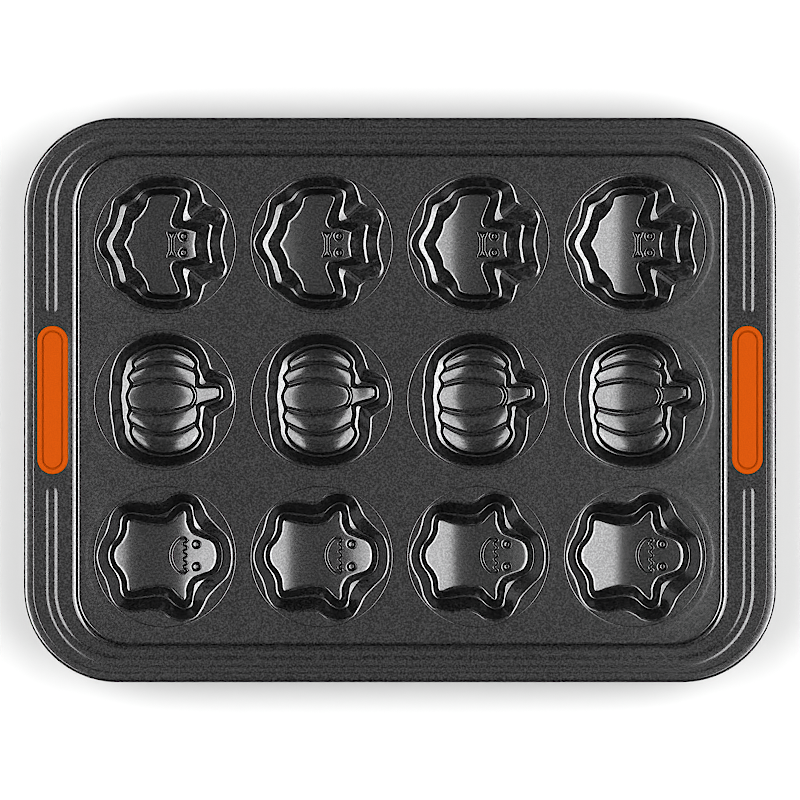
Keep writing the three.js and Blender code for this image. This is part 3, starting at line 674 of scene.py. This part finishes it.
def cup_centre(column, row):
    """Place of a cup's middle, on even columns from the left and rows from the top."""
    return (column - (COLUMNS - 1) / 2) * pitch, (1 - row) * pitch


# Frame sheet and rim wire

# Mesh steps round the pan: beside a grip, from there to the corner, round it, and a quarter of a long side
END_STEPS, BEAD_END_STEPS, ARC_STEPS, LONG_STEPS = 24, 40, 28, 14
BEAD_END_POWER = 1.5  # how steps crowd towards the bead's ends
# Mesh steps across the pieces of the frame
CURL_STEPS = 24
FALL_STEPS = 12
BEAD_STEPS = 18
COLLAR_STEPS = 5
CUT_EDGE_STEPS = 6
CELL_STEPS = 30  # along each side that a cell of the deck shares with another
WIRE_SIDES = 12
# Stretches of a loop: how many make half of it, and which of them lie round corners and along short ends
HALF_LOOP = 9
CORNER_STRETCHES = (2, 7)
END_STRETCHES = (0, 1, 8)
# First stretch that a cell at the deck's edge takes, and the one after its last, by its column and row
EDGE_STRETCHES = {
    (3, 1): (0, 1), (3, 0): (1, 4), (2, 0): (4, 5), (1, 0): (5, 6), (0, 0): (6, 9),
    (0, 1): (9, 10), (0, 2): (10, 13), (1, 2): (13, 14), (2, 2): (14, 15), (3, 2): (15, 18),
}


def stretch_shares():
    """Shares along each stretch of a loop, counterclockwise from the lower end of the right grip's cell.
    Those between the grips and the corners crowd towards the bead's ends."""
    even = {count: np.arange(count) / count for count in (END_STEPS, ARC_STEPS, LONG_STEPS)}
    from_bead = (np.arange(BEAD_END_STEPS) / BEAD_END_STEPS) ** BEAD_END_POWER
    to_bead = 1 - (np.arange(BEAD_END_STEPS, 0, -1) / BEAD_END_STEPS) ** BEAD_END_POWER
    arc, long = even[ARC_STEPS], [even[LONG_STEPS]] * 4
    return [even[END_STEPS], from_bead, arc, *long, arc, to_bead] * 2


SHARES = stretch_shares()
STARTS = np.cumsum([0] + [len(shares) for shares in SHARES])


def corner_angles(index):
    """Angles of the stations on a corner's stretch: shares of a quarter turn, after the quarters before."""
    return (index // (HALF_LOOP / 2) + SHARES[index]) * math.pi / 2


def end_shares():
    """1 at the stations along the short ends, 0 along the long sides, and a squared cosine round the
    corners."""
    parts = []
    for index, shares in enumerate(SHARES):
        stretch = index % HALF_LOOP
        if stretch in CORNER_STRETCHES:
            parts.append(np.cos(corner_angles(index)) ** 2)
        else:
            parts.append(np.full(len(shares), float(stretch in END_STRETCHES)))
    return np.concatenate(parts)


END_SHARES = end_shares()


def leaning(inset_end, inset_side):
    """Heights of the flange round a loop, which leans alike at the short ends and along the long sides."""
    return flange_height(inset_end) * END_SHARES + flange_height(inset_side) * (1 - END_SHARES)


def pan_loop(inset_end, inset_side, z):
    """Round-cornered loop set in from the pan's outline, with its stations on the stretches between the
    cells' limits and its corner arcs. The corners' radius goes evenly from the rim's to the deck's."""
    radius = RIM_CORNER - (RIM_CORNER - DECK_CORNER) * inset_side / FLANGE_SIDE
    x, y = half_length - inset_end, half_width - inset_side
    arc_x, arc_y = x - radius, y - radius
    half = [(x, -cell_half), (x, cell_half), (x, arc_y), (arc_x, y), (pitch, y)]
    half += [(0.0, y), (-pitch, y), (-arc_x, y), (-x, arc_y)]
    knots = np.array(half + [(-px, -py) for px, py in half] + half[:1])
    stretches = []
    for index, shares in enumerate(SHARES):
        start, end = knots[index], knots[index + 1]
        stretch = index % HALF_LOOP
        if stretch in CORNER_STRETCHES:
            from_end = stretch == CORNER_STRETCHES[0]
            centre = np.array([end[0], start[1]] if from_end else [start[0], end[1]])
            angles = corner_angles(index)
            stretches.append(centre + radius * np.column_stack([np.cos(angles), np.sin(angles)]))
        else:
            stretches.append(start + (end - start) * shares[:, None])
    return at_height(np.vstack(stretches), z)


def bead_rise(offset, y):
    """Height of the bead at an offset from its middle line: a flat top and flanks of half a cosine wave.
    Its ends beside the grips are round in plan."""
    past = np.maximum(BEAD_STOP - np.abs(y), 0)
    reach = np.clip((np.hypot(offset, past) - BEAD_TOP) / (BEAD_HALF_WIDTH - BEAD_TOP), 0, 1)
    return BEAD_RISE * 0.5 * (1 + np.cos(np.pi * reach))


def border_rings():
    """Rings of the frame's upper side from the end of the curl over the flange to the deck, and the numbers
    of the rings between which the grips' slots are cut: one before the bead and one after it."""

    def curl_ring(angle):
        """The curl at an angle of its section: a circle, with a smaller one on it for the shoulder."""
        radius = CURL_RADIUS if angle < 0 else CURL_SHOULDER
        ring_inset = radius * (1 - math.cos(angle))
        lift = 0.0 if angle < 0 else CURL_RADIUS - CURL_SHOULDER
        return pan_loop(ring_inset, ring_inset, curl_height + lift + radius * math.sin(angle))

    def fall_ring(share):
        """The fall from the top of the rim to the flange: half a cosine wave."""
        ring_inset = RIM_FALL_START + RIM_FALL_RUN * share
        fall = RIM_FALL * 0.5 * (1 - math.cos(math.pi * share))
        return pan_loop(ring_inset, ring_inset, rim_height - fall)

    def bead_ring(offset):
        """The leaning flange and the bead on it, at an offset from the bead's middle line."""
        insets = BEAD_INSET_END + offset, BEAD_INSET_SIDE + offset
        ring = pan_loop(*insets, leaning(*insets))
        ring[:, 2] += bead_rise(offset, ring[:, 1])
        return ring

    rings = [curl_ring(angle) for angle in np.linspace(math.radians(CURL_END), math.pi / 2, CURL_STEPS)]
    rings += [fall_ring(share) for share in np.linspace(0, 1, FALL_STEPS + 1)]
    offsets = np.linspace(-BEAD_HALF_WIDTH, BEAD_HALF_WIDTH, BEAD_STEPS + 1)
    before_bead = len(rings) - 1
    rings += [bead_ring(offset) for offset in offsets]
    brink = FLANGE_END - STEP_RUN, FLANGE_SIDE - STEP_RUN
    step = [
        rings[-1],
        pan_loop(*brink, leaning(*brink)),
        pan_loop(FLANGE_END, FLANGE_SIDE, deck_top),
        pan_loop(FLANGE_END + DECK_SUPPORT, FLANGE_SIDE + DECK_SUPPORT, deck_top),
    ]
    after_bead = len(rings)
    rings += rounded_path(step, [STEP_HIGH_ROUND, STEP_LOW_ROUND], CORNER_STEPS)[1:]
    return np.stack(rings), before_bead, after_bead


def cell_outline(column, row, deck_edge):
    """Closed outline of one cell of the deck, counterclockwise: the deck's edge where the cell lies at it,
    and straight lines to and between the corners that it shares with other cells."""
    x, y = cup_centre(column, row)
    inner_x = [side for side, at_edge in ((-1, column == 0), (1, column == COLUMNS - 1)) if not at_edge]
    inner_y = [side for side, at_edge in ((-1, row == ROWS - 1), (1, row == 0)) if not at_edge]
    corners = np.array([(x + i * cell_half, y + j * cell_half) for i in inner_x for j in inner_y])
    angles = np.arctan2(corners[:, 1] - y, corners[:, 0] - x)
    if (column, row) in EDGE_STRETCHES:
        first, last = EDGE_STRETCHES[column, row]
        at_edge = deck_edge[np.arange(STARTS[first], STARTS[last] + 1) % len(deck_edge), :2]
        end_angle = math.atan2(at_edge[-1, 1] - y, at_edge[-1, 0] - x)
        order = np.argsort((angles - end_angle) % (2 * math.pi))
        way = np.vstack([at_edge[-1], corners[order], at_edge[0]])
        parts = [at_edge[:-1]]
    else:
        way = corners[np.argsort(angles)]
        way = np.vstack([way, way[:1]])
        parts = []
    shares = (np.arange(CELL_STEPS) / CELL_STEPS)[:, None]
    parts += [start + (end - start) * shares for start, end in zip(way, way[1:])]
    return np.vstack(parts)


def deck_cell(column, row, deck_edge):
    """One cell of the deck: rings from its outline in to the window, over the rounded cut edge, down, and
    back out on the underside."""
    outline = cell_outline(column, row, deck_edge)
    centre = np.array(cup_centre(column, row))
    limit = np.linalg.norm(outline - centre, axis=1)
    direction = (outline - centre) / limit[:, None]

    def ring(reach, fall=0.0):
        """Points at this reach from the window's middle, but not past the cell, on the deck less a fall."""
        reach = np.minimum(reach, limit)
        collar = COLLAR_RISE * np.clip((COLLAR_OUTER - reach) / (COLLAR_OUTER - COLLAR_INNER), 0, 1)
        return at_height(centre + direction * reach[:, None], deck_top + collar - fall)

    slope = np.linspace(COLLAR_OUTER, COLLAR_INNER, COLLAR_STEPS)
    rings = [ring(limit)] + [ring(reach) for reach in slope] + [ring(window_radius + WINDOW_BORDER)]
    for angle in np.linspace(0, math.pi / 2, CUT_EDGE_STEPS + 1):
        reach = window_radius + WINDOW_ROUND * (1 - math.sin(angle))
        rings.append(ring(reach, WINDOW_ROUND * (1 - math.cos(angle))))
    way_back = window_radius, window_radius + WINDOW_BORDER, *slope[::-1], limit
    rings += [ring(reach, SHEET) for reach in way_back]
    return surface(np.stack(rings))


def stadium_near(points, centre, length, width):
    """Points of a stadium outline nearest to given points: on its straight sides beside its middle line,
    and on its round ends past it."""
    reach = (length - width) / 2
    middle = np.column_stack([np.full(len(points), centre), np.clip(points[:, 1], -reach, reach)])
    direction = points[:, :2] - middle
    return middle + direction / np.linalg.norm(direction, axis=1, keepdims=True) * width / 2


def slot_surface(upper, lower, first, last, stretch, side):
    """The flange round a grip's slot: rings from the border of the block cut out of the frame's rings in to
    the slot, down through the sheet, and back out on the underside."""
    columns = np.arange(STARTS[stretch], STARTS[stretch + 1] + 1) % upper.shape[1]

    def border(grid):
        """The points round the block in a grid, in the order of a loop."""
        block = grid[first : last + 1, columns]
        return np.vstack([block[0, :-1], block[:-1, -1], block[-1, :0:-1], block[:0:-1, 0]])

    outer, under = border(upper), border(lower)
    centre = side * (grip_low[0] + grip_high[0]) / 2
    length = grip_high[1] - grip_low[1] - 2 * GRIP_LIP
    width = grip_high[0] - grip_low[0] - 2 * GRIP_LIP
    slot = stadium_near(outer, centre, length, width)
    rings = [outer, at_height(slot, flange_top), at_height(slot, flange_top - SHEET), under]
    return surface(np.stack(rings))


def frame_sheet():
    """Surfaces of the frame: the border's two sides and its curled edge, the grips' slots and the deck's
    cells."""
    upper, first, last = border_rings()
    lower = underside(upper)
    keep = np.ones((len(upper) - 1, upper.shape[1]), bool)
    slots = []
    for stretch, side in ((0, 1), (HALF_LOOP, -1)):
        keep[first:last, STARTS[stretch] : STARTS[stretch + 1]] = False
        slots.append(slot_surface(upper, lower, first, last, stretch, side))
    surfaces = [surface(upper, keep=keep), surface(lower[::-1], keep=keep[::-1])]
    surfaces.append(surface(np.stack([lower[0], upper[0]])))
    cells = [deck_cell(column, row, upper[-1]) for column in range(COLUMNS) for row in range(ROWS)]
    return surfaces + slots + cells


def rim_wire():
    """A round wire along the middle of the curl: one loop for each side of its section."""
    angles = np.linspace(-math.pi, math.pi, WIRE_SIDES + 1)
    rings = [
        pan_loop(CURL_RADIUS - reach, CURL_RADIUS - reach, curl_height + WIRE_RADIUS * math.sin(angle))
        for angle, reach in zip(angles, WIRE_RADIUS * np.cos(angles))
    ]
    return [surface(np.stack(rings))]


# Grips

GRIP_END_STEPS, GRIP_SIDE_STEPS, GRIP_ROUND_STEPS = 20, 16, 6


def grip(side):
    """One moulded grommet: rings of a stadium from the middle of the bottom pad round its edge, along the
    neck in the slot, round the top pad and over its border to the middle of the sunk panel."""
    length = grip_high[1] - grip_low[1]
    width = grip_high[0] - grip_low[0]
    top, bottom = grip_high[2], grip_low[2]
    seat_top, seat_bottom = flange_top + GRIP_SEAT, flange_top - SHEET - GRIP_SEAT
    centre = side * (grip_low[0] + grip_high[0]) / 2
    reach = (length - width) / 2
    turn = np.linspace(0, math.pi, GRIP_END_STEPS + 1)
    straight = np.linspace(reach, -reach, GRIP_SIDE_STEPS + 1)[1:-1]
    end = np.column_stack([np.cos(turn), np.sin(turn), np.full(len(turn), reach)])
    left_side = np.column_stack([np.full(len(straight), -1.0), np.zeros(len(straight)), straight])
    half = np.vstack([end, left_side])
    shape = np.vstack([half, -half])

    def ring(shrink, z):
        """The grip's stadium, set in by a distance: a radius round each point of its middle line."""
        radius = max(width / 2 - shrink, 0.0)
        xy = np.column_stack([centre + shape[:, 0] * radius, shape[:, 1] * radius + shape[:, 2]])
        return at_height(xy, z)

    neck = GRIP_LIP + NECK_CLEARANCE
    panel = top - PANEL_DROP
    corners = [
        ring(width / 4, bottom),
        ring(0, bottom),
        ring(0, seat_bottom),
        ring(neck, seat_bottom),
        ring(neck, seat_top),
        ring(0, seat_top),
        ring(0, top),
        ring(GRIP_BORDER, top),
        ring(GRIP_BORDER + GROOVE_WIDTH / 2, panel - GROOVE_DEPTH),
        ring(GRIP_BORDER + GROOVE_WIDTH, panel),
        ring(width / 2 - PANEL_CORE, panel),
    ]
    rounds = [GRIP_ROUND, PAD_ROUND, NECK_ROUND, NECK_ROUND, PAD_ROUND, GRIP_ROUND]
    rounds += [PANEL_ROUND, GROOVE_ROUND, PANEL_ROUND]
    path = rounded_path(corners, rounds, GRIP_ROUND_STEPS)
    rings = [ring(width / 2, bottom), *path, ring(width / 2, panel)]
    return [surface(np.stack(rings))]


# Finishes

GRAIN_PER_METRE, DRIFT_PER_METRE = 1500.0, 12.0  # unless a finish gives its own
FLECK_LOW, FLECK_HIGH = 0.38, 0.66  # values of the grain between which a fleck fades in
DRIFT_LOW, DRIFT_HIGH = 0.3, 0.7  # values of the drift that give the least and the most roughness


def add_socket(group, name, way):
    """Adds a named socket for a number to a node group."""
    return group.interface.new_socket(name=name, in_out=way, socket_type="NodeSocketFloat")


def set_inputs(node, values):
    """Sets inputs of a node by their names."""
    for name, value in values.items():
        node.inputs[name].default_value = value


def fine_grain():
    """Node group shared by the finishes: a fine grain on Object coordinates. Speckle is a mask of small
    flecks, Height is the grain for a Bump node, and Drift is a slow variation over the whole piece."""
    group = bpy.data.node_groups.new("fine_grain", "ShaderNodeTree")
    add_socket(group, "Grain per metre", "INPUT").default_value = GRAIN_PER_METRE
    add_socket(group, "Drift per metre", "INPUT").default_value = DRIFT_PER_METRE
    for name in ("Speckle", "Height", "Drift"):
        add_socket(group, name, "OUTPUT")
    nodes, links = group.nodes, group.links
    inlet = nodes.new("NodeGroupInput")
    outlet = nodes.new("NodeGroupOutput")
    place = nodes.new("ShaderNodeTexCoord")

    def noise(scale_socket, detail, roughness):
        """A noise on the piece's own coordinates, at the scale that one of the group's inputs gives."""
        node = nodes.new("ShaderNodeTexNoise")
        set_inputs(node, {"Detail": detail, "Roughness": roughness})
        links.new(place.outputs["Object"], node.inputs["Vector"])
        links.new(inlet.outputs[scale_socket], node.inputs["Scale"])
        return node.outputs["Fac"]

    grain = noise("Grain per metre", detail=2.0, roughness=0.6)
    flecks = nodes.new("ShaderNodeMapRange")
    set_inputs(flecks, {"From Min": FLECK_LOW, "From Max": FLECK_HIGH})
    links.new(grain, flecks.inputs["Value"])
    links.new(flecks.outputs["Result"], outlet.inputs["Speckle"])
    links.new(grain, outlet.inputs["Height"])
    links.new(noise("Drift per metre", detail=2.0, roughness=0.5), outlet.inputs["Drift"])
    return group


GRAIN = fine_grain()


def finish(name, dark, light, roughness, metallic, grain_per_metre, bump_mm, specular=0.5, grazing=1.0):
    """A Principled finish whose colour runs from dark to light over the grain's flecks, whose roughness is
    (least, most) over its drift, and whose bump is the grain. Metallic is (flecks, ground), and grazing is
    the tint of what glances off at a low angle."""
    material = bpy.data.materials.new(name)
    material.use_nodes = True
    nodes, links = material.node_tree.nodes, material.node_tree.links
    shader = nodes["Principled BSDF"]
    set_inputs(shader, {"Specular IOR Level": specular, "Specular Tint": (grazing, grazing, grazing, 1.0)})
    grain = nodes.new("ShaderNodeGroup")
    grain.node_tree = GRAIN
    set_inputs(grain, {"Grain per metre": grain_per_metre})
    colour = nodes.new("ShaderNodeMix")
    colour.data_type = "RGBA"
    for inlet, value in zip((inlet for inlet in colour.inputs if inlet.type == "RGBA"), (dark, light)):
        inlet.default_value = (*value, 1)
    links.new(grain.outputs["Speckle"], colour.inputs["Factor"])
    result = [outlet for outlet in colour.outputs if outlet.type == "RGBA"][0]
    links.new(result, shader.inputs["Base Color"])

    def ranged(mask, least, most, low, high, target):
        """Feeds a mask to the shader: its values from least to most become low to high."""
        node = nodes.new("ShaderNodeMapRange")
        set_inputs(node, {"From Min": least, "From Max": most, "To Min": low, "To Max": high})
        links.new(grain.outputs[mask], node.inputs["Value"])
        links.new(node.outputs["Result"], shader.inputs[target])

    ranged("Drift", DRIFT_LOW, DRIFT_HIGH, roughness[0], roughness[1], "Roughness")
    ranged("Speckle", 0.0, 1.0, metallic[1], metallic[0], "Metallic")
    bump = nodes.new("ShaderNodeBump")
    set_inputs(bump, {"Strength": 1.0, "Distance": bump_mm * MM})
    links.new(grain.outputs["Height"], bump.inputs["Height"])
    links.new(bump.outputs["Normal"], shader.inputs["Normal"])
    return material


coated_steel = finish(
    "dark_non_stick_coat",
    dark=(0.08, 0.08, 0.081),
    light=(0.123, 0.123, 0.125),
    roughness=(0.14, 0.16),
    metallic=(0.89, 1.0),
    grain_per_metre=1000.0,
    bump_mm=0.008,
    grazing=0.3,
)
drawn_wire = finish(
    "drawn_wire",
    dark=(0.42, 0.43, 0.44),
    light=(0.55, 0.56, 0.57),
    roughness=(0.3, 0.4),
    metallic=(1.0, 1.0),
    grain_per_metre=2500.0,
    bump_mm=0.01,
)
silicone = finish(
    "orange_silicone",
    dark=(0.206, 0.0271, 0.0001),
    light=(0.232, 0.0315, 0.0002),
    roughness=(0.55, 0.65),
    metallic=(0.0, 0.0),
    grain_per_metre=1800.0,
    bump_mm=0.015,
    specular=0.02,
)


# Pieces

make_piece("frame_sheet", frame_sheet(), coated_steel)
make_piece("rim_wire", rim_wire(), drawn_wire)
make_piece("grip_left", grip(-1), silicone)
make_piece("grip_right", grip(1), silicone)
for row, kind in enumerate(FIGURES):
    cup = pumpkin_cup() if kind == "pumpkin" else plain_cup(kind)
    for column in range(COLUMNS):
        surfaces = placed(cup, *cup_centre(column, row))
        make_piece(f"{kind}_cup_{column + 1}", surfaces, coated_steel)


# Floor, light and camera

FLOOR_HALF = 10.0
FLOOR_COLOUR = (0.36, 0.36, 0.36, 1.0)
FLOOR_ROUGHNESS, FLOOR_SPECULAR = 0.9, 0.1
WORLD_STRENGTH = 0.12
FRAME_WIDTH = 0.4254  # width of the picture at the height of the rim
CAMERA_DISTANCE = 2.6  # over the rim
CAMERA_REACH = 100.0
SENSOR = 36.0
# Softboxes, each in a dim inner and a bright outer part: middles of the edge nearest to the pan's middle,
# of the edge between the parts, and of the farthest one
LEFT_BOX = ((-0.5, 0.0, 1.66), (-0.92, 0.0, 1.312), (-1.9, 0.0, 0.5))
RIGHT_BOX = ((0.42, 0.0, 1.66), (0.864, 0.0, 1.312), (1.9, 0.0, 0.5))
BOX_LENGTH = 1.85
INNER_RADIANCE, OUTER_RADIANCE = 5.0, 9.0
# A dim panel level over the pan, whose mirror image ends just past the long sides
OVERHEAD_HEIGHT, OVERHEAD_HALF_LENGTH, OVERHEAD_WIDTH = 2.9, 1.0, 1.04
OVERHEAD_RADIANCE = 0.172
# Dim screens that stand off the pan's four corners and are mirrored in it from low views
SCREEN_AWAY, SCREEN_LENGTH, SCREEN_BOTTOM, SCREEN_TOP = 2.8, 3.4, 0.05, 2.6
SCREEN_RADIANCE = 0.35
SHARPENING = 0.22  # strength of the filter on the picture


def soft_box(name, inner, outer, length, radiance):
    """A rectangular light between two edges, given by their middles, that faces the pan."""
    inner, outer = Vector(inner), Vector(outer)
    middle = (inner + outer) / 2
    width = (outer - inner).length
    light = bpy.data.lights.new(name, "AREA")
    light.shape = "RECTANGLE"
    light.size = length
    light.size_y = width
    light.energy = radiance * math.pi * width * length
    across = (outer - inner).normalized()
    back = (middle - across * middle.dot(across)).normalized()
    box = add_object(name, light)
    box.location = middle
    box.rotation_euler = Matrix((across.cross(back), across, back)).transposed().to_euler()
    box.visible_camera = False


def studio():
    """Pale floor, a softbox in two parts over each short end, a dim panel above, dim screens around, and a
    camera straight above the pan."""
    mesh = bpy.data.meshes.new("studio_floor")
    corners = [(-FLOOR_HALF, -FLOOR_HALF, 0), (FLOOR_HALF, -FLOOR_HALF, 0)]
    corners += [(FLOOR_HALF, FLOOR_HALF, 0), (-FLOOR_HALF, FLOOR_HALF, 0)]
    mesh.from_pydata(corners, [], [(0, 1, 2, 3)])
    paint = bpy.data.materials.new("studio_floor")
    paint.use_nodes = True
    shader = paint.node_tree.nodes["Principled BSDF"]
    set_inputs(shader, {"Base Color": FLOOR_COLOUR, "Roughness": FLOOR_ROUGHNESS})
    set_inputs(shader, {"Specular IOR Level": FLOOR_SPECULAR})
    mesh.materials.append(paint)
    floor = add_object("studio_floor", mesh)
    for side, (near, between, far) in (("left", LEFT_BOX), ("right", RIGHT_BOX)):
        soft_box(f"{side}_inner_softbox", near, between, BOX_LENGTH, INNER_RADIANCE)
        soft_box(f"{side}_outer_softbox", between, far, BOX_LENGTH, OUTER_RADIANCE)
    panel_ends = [(side * OVERHEAD_HALF_LENGTH, 0.0, OVERHEAD_HEIGHT) for side in (-1, 1)]
    soft_box("overhead_panel", *panel_ends, OVERHEAD_WIDTH, OVERHEAD_RADIANCE)
    for number, (x, y) in enumerate(((1, 1), (-1, 1), (-1, -1), (1, -1)), start=1):
        low, high = ((x * SCREEN_AWAY, y * SCREEN_AWAY, z) for z in (SCREEN_BOTTOM, SCREEN_TOP))
        soft_box(f"screen_{number}", low, high, SCREEN_LENGTH, SCREEN_RADIANCE)
    scene = bpy.context.scene
    world = bpy.data.worlds.new("studio")
    world.use_nodes = True
    set_inputs(world.node_tree.nodes["Background"], {"Color": (1, 1, 1, 1), "Strength": WORLD_STRENGTH})
    scene.world = world
    lens = bpy.data.cameras.new("camera")
    lens.sensor_width = SENSOR
    lens.lens = SENSOR * CAMERA_DISTANCE / FRAME_WIDTH
    lens.clip_end = CAMERA_REACH
    camera = add_object("camera", lens)
    camera.location = (0.0, 0.0, rim_top * MM + CAMERA_DISTANCE)
    scene.camera = camera
    scene.view_settings.view_transform = "Standard"


def sharpened():
    """A mild sharpening of the picture, as catalogue photographs have it."""
    scene = bpy.context.scene
    scene.use_nodes = True
    nodes, links = scene.node_tree.nodes, scene.node_tree.links
    nodes.clear()
    layers = nodes.new("CompositorNodeRLayers")
    sharpen = nodes.new("CompositorNodeFilter")
    sharpen.filter_type = "SHARPEN_DIAMOND"
    set_inputs(sharpen, {"Fac": SHARPENING})
    picture = nodes.new("CompositorNodeComposite")
    links.new(layers.outputs["Image"], sharpen.inputs["Image"])
    links.new(sharpen.outputs["Image"], picture.inputs["Image"])


studio()
sharpened()
